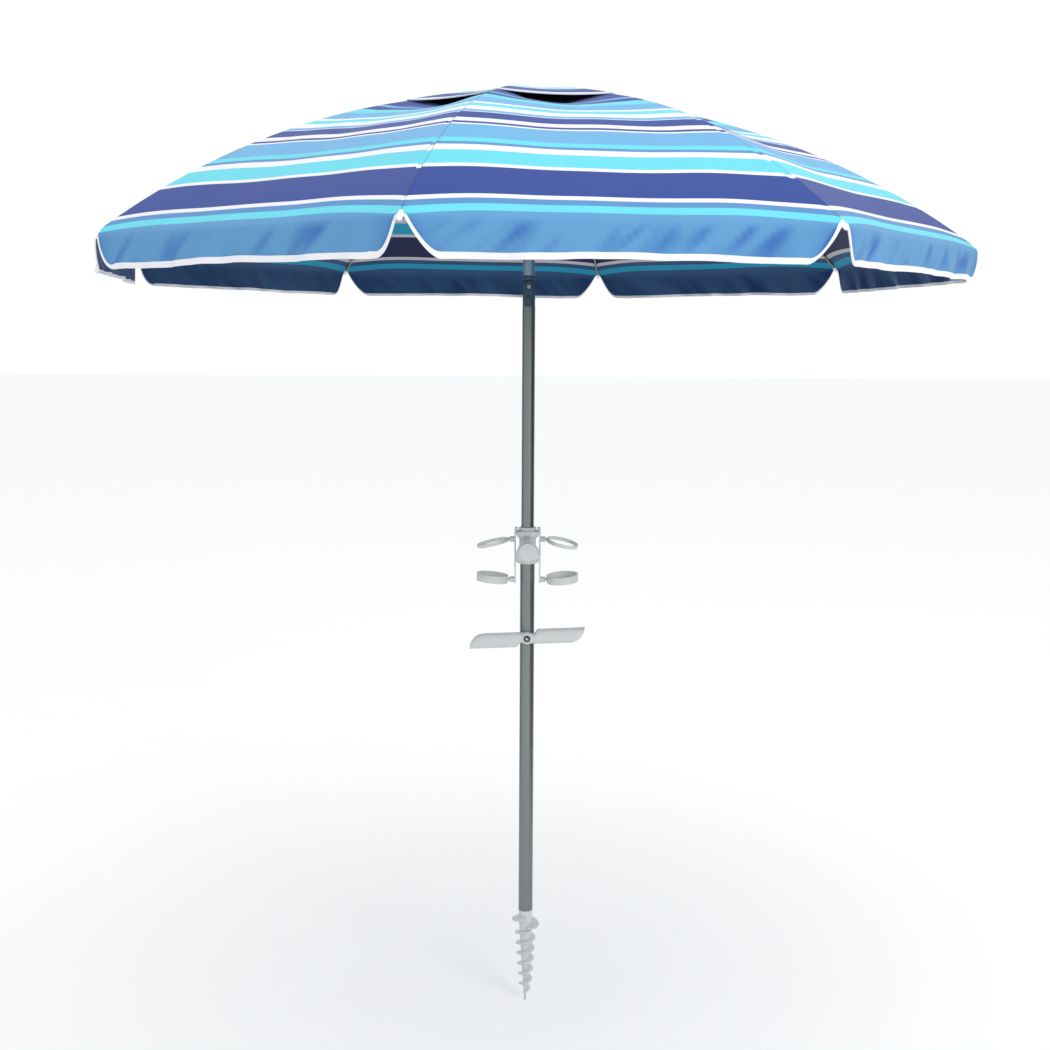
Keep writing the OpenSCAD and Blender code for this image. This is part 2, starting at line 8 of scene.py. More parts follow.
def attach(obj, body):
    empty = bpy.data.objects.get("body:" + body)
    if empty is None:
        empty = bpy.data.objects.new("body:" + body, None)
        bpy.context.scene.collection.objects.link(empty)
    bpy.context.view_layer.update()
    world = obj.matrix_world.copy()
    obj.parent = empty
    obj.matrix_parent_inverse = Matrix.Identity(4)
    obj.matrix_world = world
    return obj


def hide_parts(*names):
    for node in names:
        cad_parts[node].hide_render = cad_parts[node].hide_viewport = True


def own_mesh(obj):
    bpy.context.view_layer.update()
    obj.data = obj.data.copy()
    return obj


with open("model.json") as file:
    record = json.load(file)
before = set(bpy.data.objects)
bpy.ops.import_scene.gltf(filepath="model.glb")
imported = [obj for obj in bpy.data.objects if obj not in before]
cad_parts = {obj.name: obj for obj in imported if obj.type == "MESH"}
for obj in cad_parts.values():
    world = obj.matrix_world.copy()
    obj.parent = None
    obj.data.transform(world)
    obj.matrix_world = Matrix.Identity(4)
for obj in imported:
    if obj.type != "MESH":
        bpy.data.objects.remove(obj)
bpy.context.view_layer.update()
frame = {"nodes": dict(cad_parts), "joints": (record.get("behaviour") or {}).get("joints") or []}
print("stage: frame loaded")

millimetre = 0.001


def linearColour(hexText):
    # one sRGB hex value to the linear colour that the shaders take
    channels = [int(hexText[i:i + 2], 16) / 255 for i in (1, 3, 5)]
    return [c / 12.92 if c <= 0.04045 else ((c + 0.055) / 1.055) ** 2.4 for c in channels] + [1]


def addNode(tree, kind, inputs=None, **settings):
    # a node with its settings; an input is a value, or another node's output to link
    node = tree.nodes.new("ShaderNode" + kind)
    for name, value in settings.items():
        setattr(node, name, value)
    for name, value in (inputs or {}).items():
        if isinstance(value, bpy.types.NodeSocket):
            tree.links.new(value, node.inputs[name])
        else:
            node.inputs[name].default_value = value
    return node


def startMaterial(name):
    material = bpy.data.materials.new(name)
    material.use_nodes = True
    material.node_tree.nodes.clear()
    return material, material.node_tree


def endMaterial(tree, shader):
    addNode(tree, "OutputMaterial", {"Surface": shader.outputs[0]})


def fillRamp(ramp, stops, interpolation="LINEAR"):
    ramp.color_ramp.interpolation = interpolation
    elements = ramp.color_ramp.elements
    elements[0].position, elements[0].color = stops[0]
    elements.remove(elements[1])
    for place, colour in stops[1:]:
        elements.new(place).color = colour


# The print runs across every panel from rib to rib. Each entry is a band's colour and its
# width along the rib in millimetres, from the vent's edge outwards to the rim.
clothPrint = {
    # the tint is the colour of the painted shade on the valance
    "start": 255, "paintedShadeTint": (0.36, 0.5, 0.82, 1),
    "bands": [
        ("navy", 92), ("sky", 16), ("navy", 22), ("navy", 8), ("cyan", 35), ("sky", 51),
        ("white", 12), ("cyan", 23), ("white", 28), ("sky", 12), ("white", 6), ("navy", 36),
        ("white", 19), ("navy", 11), ("white", 7), ("sky", 59), ("cyan", 16), ("denim", 11),
        ("white", 19), ("cyan", 42), ("white", 10), ("navy", 73), ("white", 12), ("denim", 13),
        ("cyan", 17), ("valance", 200)],
    "outside": {"navy": "#29438D", "sky": "#66A6D2", "cyan": "#62CCDC", "white": "#E2E2E8",
                "denim": "#5488BC", "valance": "#5A93C0"},
    # the inside is the print's own bands on the reverse, darkened with painted shade of the underside
    "inside": {"navy": "#151C46", "sky": "#2F557F", "cyan": "#168AAA", "white": "#B4B1B6",
               "denim": "#28496F", "valance": "#2A4C74"},
}
weave = {"spacing": 2.4, "depth": 0.05}


def wovenPolyester(name, side):
    # printed woven polyester, plain weave, calendered: soft sheen, crisp print, faint threads
    material, tree = startMaterial(name)
    place = addNode(tree, "UVMap", uv_map="clothRun")
    split = addNode(tree, "SeparateXYZ", {"Vector": place.outputs[0]})
    total = sum(width for _, width in clothPrint["bands"])
    along = addNode(tree, "MapRange", {
        "Value": split.outputs["Y"], "From Min": clothPrint["start"] * millimetre,
        "From Max": (clothPrint["start"] + total) * millimetre})
    ramp = addNode(tree, "ValToRGB", {"Fac": along.outputs[0]})
    colours = {key: linearColour(text) for key, text in clothPrint[side].items()}
    stops, reached = [], 0
    for key, width in clothPrint["bands"]:
        stops.append((reached / total, colours[key]))
        reached += width
    fillRamp(ramp, stops, "CONSTANT")
    # cloudy unevenness of the dye, a hand's breadth across
    onPanel = addNode(tree, "UVMap", uv_map="panelRun")
    cloud = addNode(tree, "TexNoise", {
        "Vector": onPanel.outputs[0], "Scale": 9.0, "Detail": 3.0, "Roughness": 0.55})
    cloudTone = addNode(tree, "MapRange", {
        "Value": cloud.outputs["Fac"], "To Min": 0.93, "To Max": 1.07})
    # painted shade: the hanging valance is coloured a deeper blue where it would turn away from the
    # light, in its folds and beside each flank
    folds = addNode(tree, "Attribute", attribute_name="paintedFoldShade")
    paintedShadeTone = addNode(tree, "Mix", {
        0: folds.outputs["Fac"], 6: (1, 1, 1, 1), 7: clothPrint["paintedShadeTint"]},
        data_type="RGBA")
    # threads: real ones are 0.3 mm apart, drawn coarser so that they show
    spacing = 1 / (weave["spacing"] * millimetre) * math.tau / 20
    warp = addNode(tree, "TexWave", {"Vector": place.outputs[0], "Scale": spacing},
                   bands_direction="X")
    weft = addNode(tree, "TexWave", {"Vector": place.outputs[0], "Scale": spacing},
                   bands_direction="Y")
    threads = addNode(tree, "Math", {0: warp.outputs["Fac"], 1: weft.outputs["Fac"]},
                      operation="MULTIPLY")
    threadTone = addNode(tree, "MapRange", {
        "Value": threads.outputs[0], "To Min": 0.965, "To Max": 1.02})
    tone = addNode(tree, "Math", {0: cloudTone.outputs[0], 1: threadTone.outputs[0]},
                   operation="MULTIPLY")
    # the felled seam over each rib: a dark line along the fold, partly its stitching and partly painted
    # shade in the crease
    across = addNode(tree, "Math", {0: split.outputs["X"]}, operation="ABSOLUTE")
    seamShadeLine = addNode(tree, "MapRange", {
        "Value": across.outputs[0], "From Min": 0.0006, "From Max": 0.0016,
        "To Min": 0.7, "To Max": 1.0})
    toned = addNode(tree, "Math", {0: tone.outputs[0], 1: seamShadeLine.outputs[0]},
                    operation="MULTIPLY")
    # the print darkened by the painted shade
    paintedShaded = addNode(tree, "VectorMath", {0: ramp.outputs["Color"], 1: paintedShadeTone.outputs[2]},
                     operation="MULTIPLY")
    colour = addNode(tree, "VectorMath", {
        0: paintedShaded.outputs[0], "Scale": toned.outputs[0]}, operation="SCALE")
    bump = addNode(tree, "Bump", {
        "Height": threads.outputs[0], "Strength": 0.25,
        "Distance": weave["depth"] * millimetre})
    shader = addNode(tree, "BsdfPrincipled", {
        "Base Color": colour.outputs[0], "Normal": bump.outputs[0], "Roughness": 0.72,
        "IOR": 1.5, "Specular IOR Level": 0.25, "Sheen Weight": 0.12, "Sheen Roughness": 0.4})
    endMaterial(tree, shader)
    return material


def wovenTape(name, hexText):
    # polyester binding tape, woven narrow and folded over the raw edge: matt with a fine rib
    material, tree = startMaterial(name)
    place = addNode(tree, "TexCoord")
    ribbing = addNode(tree, "TexWave", {
        "Vector": place.outputs["Object"], "Scale": 150.0, "Distortion": 1.5},
        bands_direction="DIAGONAL")
    tone = addNode(tree, "MapRange", {
        "Value": ribbing.outputs["Fac"], "To Min": 0.94, "To Max": 1.0})
    colour = addNode(tree, "VectorMath", {
        0: linearColour(hexText)[:3], "Scale": tone.outputs[0]}, operation="SCALE")
    bump = addNode(tree, "Bump", {
        "Height": ribbing.outputs["Fac"], "Strength": 0.2, "Distance": 0.0002})
    shader = addNode(tree, "BsdfPrincipled", {
        "Base Color": colour.outputs[0], "Normal": bump.outputs[0], "Roughness": 0.8,
        "IOR": 1.5, "Sheen Weight": 0.2, "Sheen Roughness": 0.5})
    endMaterial(tree, shader)
    return material


def knittedMesh(name, hexText):
    # black warp-knitted vent mesh: holes drawn at 4 mm, about twice the real pitch; they are not cut
    # through but painted near-black, as painted shade seen through them
    material, tree = startMaterial(name)
    place = addNode(tree, "UVMap", uv_map="clothRun")
    paintedHoles = addNode(tree, "TexVoronoi", {"Vector": place.outputs[0], "Scale": 260.0,
                                         "Randomness": 0.15})
    ramp = addNode(tree, "ValToRGB", {"Fac": paintedHoles.outputs["Distance"]})
    dark, light = linearColour(hexText), linearColour("#4A5A76")
    # near-black at each hole's middle: painted shade in place of an opening
    fillRamp(ramp, [(0.0, linearColour("#05060C")), (0.45, dark), (0.75, light)])
    bump = addNode(tree, "Bump", {"Height": paintedHoles.outputs["Distance"], "Strength": 0.6,
                                  "Distance": 0.0006})
    shader = addNode(tree, "BsdfPrincipled", {
        "Base Color": ramp.outputs["Color"], "Normal": bump.outputs[0], "Roughness": 0.65,
        "IOR": 1.5})
    endMaterial(tree, shader)
    return material


def mouldedPlastic(name, hexText, roughness=0.42, grain=0.5, tint=0.05):
    # injection-moulded polypropylene or ABS: satin, a fine eroded grain, slight flow marks
    material, tree = startMaterial(name)
    place = addNode(tree, "TexCoord")
    flow = addNode(tree, "TexNoise", {"Vector": place.outputs["Object"], "Scale": 22.0,
                                      "Detail": 3.0})
    tone = addNode(tree, "MapRange", {"Value": flow.outputs["Fac"], "To Min": 1 - tint,
                                      "To Max": 1 + tint})
    colour = addNode(tree, "VectorMath", {
        0: linearColour(hexText)[:3], "Scale": tone.outputs[0]}, operation="SCALE")
    grit = addNode(tree, "TexNoise", {
        "Vector": place.outputs["Object"], "Scale": 1 / (grain * 1.6 * millimetre),
        "Detail": 2.0})
    bump = addNode(tree, "Bump", {"Height": grit.outputs["Fac"], "Strength": 0.12,
                                  "Distance": 0.0002})
    gloss = addNode(tree, "MapRange", {
        "Value": flow.outputs["Fac"], "To Min": roughness - 0.06, "To Max": roughness + 0.06})
    shader = addNode(tree, "BsdfPrincipled", {
        "Base Color": colour.outputs[0], "Normal": bump.outputs[0],
        "Roughness": gloss.outputs[0], "IOR": 1.49})
    endMaterial(tree, shader)
    return material


def powderCoatedSteel(name, hexText, metallic=0.8, roughness=0.33):
    # drawn steel tube, powder coated in metallic grey: satin, fine orange peel, faint rubs
    material, tree = startMaterial(name)
    place = addNode(tree, "TexCoord")
    stretch = addNode(tree, "Mapping", {"Vector": place.outputs["Object"],
                                        "Scale": (1.0, 1.0, 0.08)})
    rubs = addNode(tree, "TexNoise", {"Vector": stretch.outputs[0], "Scale": 120.0,
                                      "Detail": 4.0})
    tone = addNode(tree, "MapRange", {"Value": rubs.outputs["Fac"], "To Min": 0.9,
                                      "To Max": 1.1})
    colour = addNode(tree, "VectorMath", {
        0: linearColour(hexText)[:3], "Scale": tone.outputs[0]}, operation="SCALE")
    peel = addNode(tree, "TexNoise", {"Vector": place.outputs["Object"], "Scale": 900.0,
                                      "Detail": 1.0})
    bump = addNode(tree, "Bump", {"Height": peel.outputs["Fac"], "Strength": 0.1,
                                  "Distance": 0.00015})
    gloss = addNode(tree, "MapRange", {
        "Value": rubs.outputs["Fac"], "To Min": roughness - 0.07, "To Max": roughness + 0.09})
    shader = addNode(tree, "BsdfPrincipled", {
        "Base Color": colour.outputs[0], "Normal": bump.outputs[0], "Metallic": metallic,
        "Roughness": gloss.outputs[0]})
    endMaterial(tree, shader)
    return material


def platedSteel(name, hexText, roughness=0.3):
    # zinc-plated steel, turned and plated: bright, with fine turning lines
    material, tree = startMaterial(name)
    place = addNode(tree, "TexCoord")
    lines = addNode(tree, "TexNoise", {"Vector": place.outputs["Object"], "Scale": 700.0,
                                       "Detail": 2.0})
    tone = addNode(tree, "ValToRGB", {"Fac": lines.outputs["Fac"]})
    base = linearColour(hexText)
    fillRamp(tone, [(0.2, [c * 0.75 for c in base[:3]] + [1]), (0.8, base)])
    gloss = addNode(tree, "MapRange", {
        "Value": lines.outputs["Fac"], "To Min": roughness - 0.08, "To Max": roughness + 0.1})
    shader = addNode(tree, "BsdfPrincipled", {
        "Base Color": tone.outputs["Color"], "Metallic": 1.0, "Roughness": gloss.outputs[0]})
    endMaterial(tree, shader)
    return material


def mouldedRubber(name, hexText):
    # moulded nitrile rubber: matt black with a dusty bloom
    material, tree = startMaterial(name)
    place = addNode(tree, "TexCoord")
    bloom = addNode(tree, "TexNoise", {"Vector": place.outputs["Object"], "Scale": 300.0,
                                       "Detail": 4.0})
    tone = addNode(tree, "ValToRGB", {"Fac": bloom.outputs["Fac"]})
    fillRamp(tone, [(0.3, linearColour(hexText)), (0.9, linearColour("#2B2C2E"))])
    shader = addNode(tree, "BsdfPrincipled", {
        "Base Color": tone.outputs["Color"], "Roughness": 0.75, "IOR": 1.52})
    endMaterial(tree, shader)
    return material


printOutside = wovenPolyester("wovenPolyesterPrint", "outside")
# the reverse side of the print, darkened with painted shade
printReversePaintedShade = wovenPolyester("wovenPolyesterReversePaintedShade", "inside")
bindingTape = wovenTape("wovenBindingTape", "#E6E7EC")
ventKnit = knittedMesh("warpKnitVentMesh", "#10131F")
greyPolypropylene = mouldedPlastic("mouldedGreyPolypropylene", "#C2C5C5")
whiteNylon = mouldedPlastic("mouldedWhiteNylon", "#F3F4F6", roughness=0.35)
darkNylon = mouldedPlastic("mouldedBlackNylon", "#2A2D33", roughness=0.45)
slateAbs = mouldedPlastic("mouldedSlateAbs", "#2E475A", roughness=0.38)
coatedPole = powderCoatedSteel("powderCoatedSteelTube", "#7E8485")
coatedTopPole = powderCoatedSteel("powderCoatedTopTube", "#9FBACA")
coatedRib = powderCoatedSteel("powderCoatedSpringSteel", "#8C8F84", metallic=0.3)
zincSteel = platedSteel("zincPlatedSteel", "#C4C7C9")
blackRubber = mouldedRubber("mouldedNitrileRubber", "#0B0B0C")
print("stage: materials made")

# The same arc as the CAD canopy's: every rib and gore follows it.
canopy = {
    "tipRadius": 0.920, "rimHeight": 1.696, "rise": 0.323, "bulge": 0.077,
    "ribCloth": 0.918, "ventRadius": 0.262, "capRadius": 0.292, "capTop": 2.0358,
    "valanceDepth": 0.0635, "cloth": 0.0008, "tape": 0.0007, "sagFlat": 0.003,
    "sagFull": 0.022, "sagReach": 0.2, "scallop": 0.09, "hemTape": 0.0095,
    "flankTape": 0.0042, "capShare": 0.012, "slantedPanels": (1, 4, 5),
    "cornerPull": 0.017, "ribCount": 8, "foldKeep": 0.17, "rows": 44,
    "arcShare": 1.065,
}
# where the cloth is drawn in around a rib's tip cap, and how its stripes bend towards the tip
corner = {"start": 0.903, "run": 0.008, "deep": 0.0046, "half": 0.017, "bendStart": 0.64,
          "bendRun": 0.28, "bendHalf": 0.55}
# the valance's folds: how often they come across a panel, how far they lean with depth, and
# how deep the broad ones, the fine ones and the curl beside a flank are, in metres
folds = {"across": 3.4, "lean": 0.55, "broad": 0.02, "fine": 0.006, "curl": 0.003}
edgeShare = (1 - math.cos(math.radians(45))) / 2
halfWidth = math.sin(math.radians(45)) / 2
crownPoint = Vector((0, canopy["rimHeight"] + canopy["rise"]))
tipPoint = Vector((canopy["tipRadius"], canopy["rimHeight"]))
chordLine = tipPoint - crownPoint
arcRadius = chordLine.length ** 2 / (8 * canopy["bulge"]) + canopy["bulge"] / 2
chordWay = chordLine.normalized()
arcCentre = (crownPoint + tipPoint) / 2 - Vector((-chordWay.y, chordWay.x)) * (
    arcRadius - canopy["bulge"])


def arcHeight(radius):
    lean = math.asin((radius - arcCentre.x) / arcRadius)
    return arcCentre.y + arcRadius * math.cos(lean)


def ribFrame(k):
    # outward, sideways and up for rib k, from its fold joint's axis in the frame
    joint = next(j for j in frame["joints"] if j["name"] == f"rib_{k}_fold")
    side = Vector(joint["axis"]).normalized()
    return Vector((side.y, -side.x, 0)), side, Vector((0, 0, 1))


def sagAt(radius):
    return canopy["sagFlat"] + canopy["sagFull"] * math.exp(
        -(radius - canopy["ventRadius"]) / canopy["sagReach"])


def panelPlace(k, share):
    # the panel that a point lies in, and how far it is from the panel's middle, -1 to 1
    panel = k if share >= 0 else (k - 2) % canopy["ribCount"] + 1
    along = (abs(share) - 1) if share >= 0 else (1 - abs(share))
    return panel, along


def flankOf(k, share):
    # the width of a flank as a share of half a panel, and how steeply it falls at first
    slanted = panelPlace(k, share)[0] in canopy["slantedPanels"]
    return (0.175, 1.6) if slanted else (0.155, 2.8)


def flapShape(k, share):
    # how deep the valance hangs, from 0 at the rib to 1 past the flank; the lower edge
    # rises a little at the panel's middle
    width, power = flankOf(k, share)
    reach = min(1, max(0, (abs(share) - canopy["capShare"]) / (width - canopy["capShare"])))
    return (1 - (1 - reach) ** power) * (1 - canopy["scallop"] * abs(share) ** 1.6)


def panelNormal(share):
    turn = math.radians(22.5) * (1 if share >= 0 else -1)
    return Vector((math.cos(turn), math.sin(turn), 0))


def puckerAt(k, share, radius):
    # shallow tension folds of the stretched cloth, none at the ribs
    panel, along = panelPlace(k, share)
    rise = noise.noise(Vector((along * 2.2 + panel * 7.3, radius * 5.0, panel * 3.1)))
    calm = 1 - (1 - min(1, abs(share) * 2.5)) ** 2
    return 0.0022 * rise * calm


def valanceFold(k, share, depth):
    # soft folds of the hanging valance: they lean, and open towards the lower edge
    panel, along = panelPlace(k, share)
    lean = along * folds["across"] + depth * folds["lean"]
    wave = noise.noise(Vector((lean * 1.7, panel * 5.7, 0.3)))
    fine = noise.noise(Vector((lean * 5.1 + 4.0, panel * 2.9, depth * 0.8)))
    calm = min(1, abs(share) / 0.3) ** 2
    # beside a flank the cloth curls inwards
    curl = folds["curl"] * math.exp(-((abs(share) - 0.13) / 0.07) ** 2)
    return depth ** 1.2 * ((folds["broad"] * wave + folds["fine"] * fine) * calm - curl)


def paintedFoldShade(k, share, depth):
    # 0 to 1: painted shade, how much the valance is darkened where it turns away from the light, beside
    #         a flank and in a fold
    panel, along = panelPlace(k, share)
    width, power = flankOf(k, share)
    drop = depth * flapShape(k, share)
    edge = canopy["capShare"] + (width - canopy["capShare"]) * (
        1 - (1 - min(1, drop)) ** (1 / power))
    # painted shadow beside each flank, fading into the panel
    beside = math.exp(-max(0, abs(share) - edge) / 0.05) * min(1, drop / 0.15) * (
        1 - 0.6 * drop ** 2)
    lean = along * folds["across"] + depth * folds["lean"]
    broad = noise.noise(Vector((lean * 1.7, panel * 5.7 + 0.4, 0.3)))
    narrow = noise.noise(Vector((lean * 4.3 + 9.0, panel * 4.1 + 0.7, depth * 0.9)))
    # painted shade in the hollows of the folds
    hollow = max(0, -0.5 * broad - 1.1 * narrow - 0.05)
    fade = min(1, depth / 0.25) * (1 - 0.5 * max(0, depth - 0.5) / 0.5)
    return min(1, 0.9 * beside + 1.3 * hollow * fade)


def canopyPoint(k, share, radius):
    near = abs(share)
    dip = (near * (2 - near) + near * near * (3 - 2 * near)) / 2
    point = Vector((radius * (1 - edgeShare * near), halfWidth * share * radius,
                    arcHeight(radius) - sagAt(radius) * dip))
    point.z += puckerAt(k, share, radius)
    # the corner is drawn in around the rib's tip cap, which stands on top of it
    outer = min(1, max(0, (radius - corner["start"]) / corner["run"]))
    point.z -= corner["deep"] * math.exp(-(share / corner["half"]) ** 2) * outer
    return point


def rimRadius(share):
    return canopy["ribCloth"] + (canopy["tipRadius"] - canopy["ribCloth"]) * min(
        1, abs(share) / 0.05)


def panelRun(k, share, radius, extra=0.0):
    # coordinates that run on through a panel's middle: for the dye's unevenness, not for the print
    panel, along = panelPlace(k, share)
    return (panel * 2 + along * halfWidth * radius, radius + extra)


def valancePoint(k, share, depth, proud=0.0):
    # depth runs from 0 at the rim to 1 at the lower edge
    top = canopyPoint(k, share, rimRadius(share))
    drop = depth * canopy["valanceDepth"] * flapShape(k, share)
    way = panelNormal(share)
    ease = 0.0035 * (1 - math.exp(-drop / 0.006))
    fold = valanceFold(k, share, depth)
    panel, along = panelPlace(k, share)
    wobble = 0.0016 * noise.noise(Vector((along * 6 + panel * 3.3, depth * 2, 1.7))) * depth
    return top + way * (ease + fold + proud) - Vector((0, 0, drop + wobble))


def meshFromRows(name, rows, uvRows, thickness, materials, panelRows=None, shades=None):
    # a smooth sheet from rows of points, given its thickness as a closed shell
    height, width = len(rows), len(rows[0])
    mesh = bpy.data.meshes.new(name)
    points = [p for row in rows for p in row]
    faces = [(i * width + j, (i + 1) * width + j, (i + 1) * width + j + 1, i * width + j + 1)
             for i in range(height - 1) for j in range(width - 1)]
    mesh.from_pydata(points, [], faces)
    for layerName, values in (("clothRun", uvRows), ("panelRun", panelRows or uvRows)):
        layer = mesh.uv_layers.new(name=layerName)
        flat = [uv for row in values for uv in row]
        for loop in mesh.loops:
            layer.data[loop.index].uv = flat[loop.vertex_index]
    # each point's painted shade, which the cloth material reads; none where no shades are given
    shade = mesh.attributes.new("paintedFoldShade", "FLOAT", "POINT")
    shade.data.foreach_set("value", shades or [0.0] * len(points))
    mesh.polygons.foreach_set("use_smooth", [True] * len(mesh.polygons))
    piece = bpy.data.objects.new(name, mesh)
    bpy.context.scene.collection.objects.link(piece)
    for material in materials:
        mesh.materials.append(material)
    shell = piece.modifiers.new("thickness", "SOLIDIFY")
    shell.thickness = thickness
    shell.offset = 0
    shell.use_even_offset = False
    if len(materials) > 1:
        shell.material_offset = 1
    return piece


def applyModifiers(piece):
    graph = bpy.context.evaluated_depsgraph_get()
    final = bpy.data.meshes.new_from_object(piece.evaluated_get(graph))
    piece.modifiers.clear()
    old = piece.data
    piece.data = final
    bpy.data.meshes.remove(old)
    final.name = piece.name
    final.set_sharp_from_angle(angle=math.radians(55))


def intoRibFrame(k, rows):
    out, side, up = ribFrame(k)
    return [[out * p.x + side * p.y + up * p.z for p in row] for row in rows]


def acrossShares():
    # close together at the rib and over the flank, wider towards the panel's middle
    seamLine = [0.0012, 0.004, 0.008, 0.0118]
    flank = [0.0125 + 0.1625 * i / 18 for i in range(19)]
    field = [0.175 + 0.825 * (i / 30) for i in range(1, 31)]
    half = seamLine + flank + field
    return [-s for s in reversed(half)] + [0] + half


seamShift = {"width": 0.009, "shift": -0.0045}


def clothRun(share, radius, extra=0.0):
    # the print's own coordinates: metres across from the rib, metres out from the crown
    across = halfWidth * share * radius
    inSeam = -seamShift["width"] < across < -0.0002
    # the cloth is stretched outwards at its corners, so the stripes bend to the rib's tip
    outer = min(1, max(0, (radius - corner["bendStart"]) / corner["bendRun"]))
    near = max(0, 1 - abs(share) / corner["bendHalf"])
    pull = canopy["cornerPull"] * outer ** 1.2 * near ** 2
    fade = min(1, max(0, (0.90 - radius) / 0.1))
    return (across, radius + extra - pull + (seamShift["shift"] * fade if inSeam else 0))


def buildMainCloth(k):
    shares = acrossShares()
    first = canopy["ventRadius"]
    count = canopy["rows"]
    rows, uvRows, panelRows = [], [], []
    shades = [0.0] * len(shares) * (count + 1)
    for i in range(count + 1):
        radii = [first + (rimRadius(share) - first) * i / count for share in shares]
        places = list(zip(shares, radii))
        rows.append([canopyPoint(k, share, radius) for share, radius in places])
        uvRows.append([clothRun(share, radius) for share, radius in places])
        panelRows.append([panelRun(k, share, radius) for share, radius in places])
    for depth in [0.03, 0.08] + [0.08 + 0.90 * i / 16 for i in range(1, 17)]:
        extra = depth * canopy["valanceDepth"]
        rows.append([valancePoint(k, share, depth) for share in shares])
        uvRows.append([clothRun(share, rimRadius(share), extra) for share in shares])
        panelRows.append([panelRun(k, share, rimRadius(share), extra) for share in shares])
        # the valance rows carry painted shade
        shades += [paintedFoldShade(k, share, depth) for share in shares]
    return meshFromRows(f"canopyPanel{k}", intoRibFrame(k, rows), uvRows, canopy["cloth"],
                        [printOutside, printReversePaintedShade], panelRows, shades)


def tapeWidth(k, share, hem, flank):
    # how far up the valance the tape reaches, as a drop: it keeps its width along the flank
    reach = min(1, abs(share) / flankOf(k, share)[0])
    step = 0.002
    across = halfWidth * canopy["tipRadius"] * step
    fall = canopy["valanceDepth"] * (flapShape(k, abs(share) + step) - flapShape(k, abs(share)))
    steep = math.hypot(1, fall / across)
    return (flank + (hem - flank) * reach ** 4) * min(steep, 3.5)


def buildBinding(k):
    # tape folded round the valance's lower edge and up both flanks of the gap at the rib:
    # wide outside, narrower inside, 0.9 mm clear of the cloth
    shares = acrossShares()
    rows, uvRows = [], []
    section = [(1 - i / 4, 1) for i in range(5)] + [(i / 3, -1) for i in range(4)]
    for part, side in section:
        row, uvRow = [], []
        for share in shares:
            deep = max(canopy["valanceDepth"] * flapShape(k, share), 1e-5)
            wide = (tapeWidth(k, share, canopy["hemTape"], canopy["flankTape"]) if side > 0
                    else tapeWidth(k, share, canopy["hemTape"] * 0.6, 0.0012))
            point = valancePoint(k, share, max(1 - wide * part / deep, 0.0), side * 0.0009)
            if part == 0:
                point.z -= 0.0006
            row.append(point)
            uvRow.append((share * 0.3, wide * part * side))
        rows.append(row)
        uvRows.append(uvRow)
    return meshFromRows(f"valanceBinding{k}", intoRibFrame(k, rows), uvRows,
                        canopy["tape"], [bindingTape])


ventCap = {"gap": 0.0025, "dip": 0.006, "inner": 0.010, "printShift": 0.60, "tape": 0.009,
           "tapeOver": 0.0005, "tapeThick": 0.0022}
ventNet = {"inside": 0.006, "top": 0.225, "sag": 0.006, "cloth": 0.0007, "flatRadius": 0.268,
           "flatHeight": 0.058}


def capPoint(radius, share):
    edge = arcHeight(canopy["capRadius"]) + ventCap["gap"]
    height = edge + (canopy["capTop"] - edge) * (1 - (radius / canopy["capRadius"]) ** 1.5)
    dip = ventCap["dip"] * abs(share) * (2 - abs(share)) * radius / canopy["capRadius"]
    return Vector((radius * (1 - edgeShare * abs(share)), halfWidth * share * radius,
                   height - dip))


def buildVentCap(k):
    shares = [i / 10 - 1 for i in range(21)]
    inner, outer = ventCap["inner"], canopy["capRadius"]
    radii = [inner + (outer - inner) * i / 16 for i in range(17)]
    rows = [[capPoint(radius, share) for share in shares] for radius in radii]
    uvRows = [[clothRun(share, radius + ventCap["printShift"]) for share in shares] for radius in radii]
    cap = meshFromRows(f"ventCap{k}", intoRibFrame(k, rows), uvRows, canopy["cloth"],
                       [printOutside, printReversePaintedShade])
    wide = ventCap["tape"] + ventCap["tapeOver"]
    lip = [outer - ventCap["tape"] + wide * i / 3 for i in range(4)]
    rows = [[capPoint(radius, share) for share in shares] for radius in lip]
    uvRows = [[(share * 0.1, radius) for share in shares] for radius in lip]
    edge = meshFromRows(f"ventCapBinding{k}", intoRibFrame(k, rows), uvRows,
                        ventCap["tapeThick"], [bindingTape])
    return cap, edge


def buildVentMesh(k):
    # hangs from the cap's underside and is sewn to the inside of the main cloth's edge
    shares = [i / 10 - 1 for i in range(21)]
    rows, uvRows = [], []
    for i in range(7):
        part = i / 6
        row = []
        for share in shares:
            low = canopyPoint(k, share, canopy["ventRadius"] + ventNet["inside"])
            low.z -= 0.0014
            high = capPoint(ventNet["top"], share)
            high.z -= 0.004
            point = low.lerp(high, part)
            point.z -= ventNet["sag"] * math.sin(math.pi * part) * abs(share)
            row.append(point)
        rows.append(row)
        uvRows.append([(halfWidth * share * 0.26, part * 0.05) for share in shares])
    return meshFromRows(f"ventMesh{k}", intoRibFrame(k, rows), uvRows, ventNet["cloth"],
                        [ventKnit])


def finishCloth(piece, k, extras):
    for each in [piece] + extras:
        applyModifiers(each)
        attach(each, f"rib_{k}")
        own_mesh(each)


for k in range(1, canopy["ribCount"] + 1):
    panel = buildMainCloth(k)
    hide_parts(f"canopy_gore_{k}")
    binding = buildBinding(k)
    cap, capEdge = buildVentCap(k)
    ventMesh = buildVentMesh(k)
    # the arc is longer than its run along the radius
    finishCloth(panel, k,
                [binding])
    finishCloth(cap, k,
                [capEdge])
    finishCloth(ventMesh, k,
                [])
print("stage: canopy made")


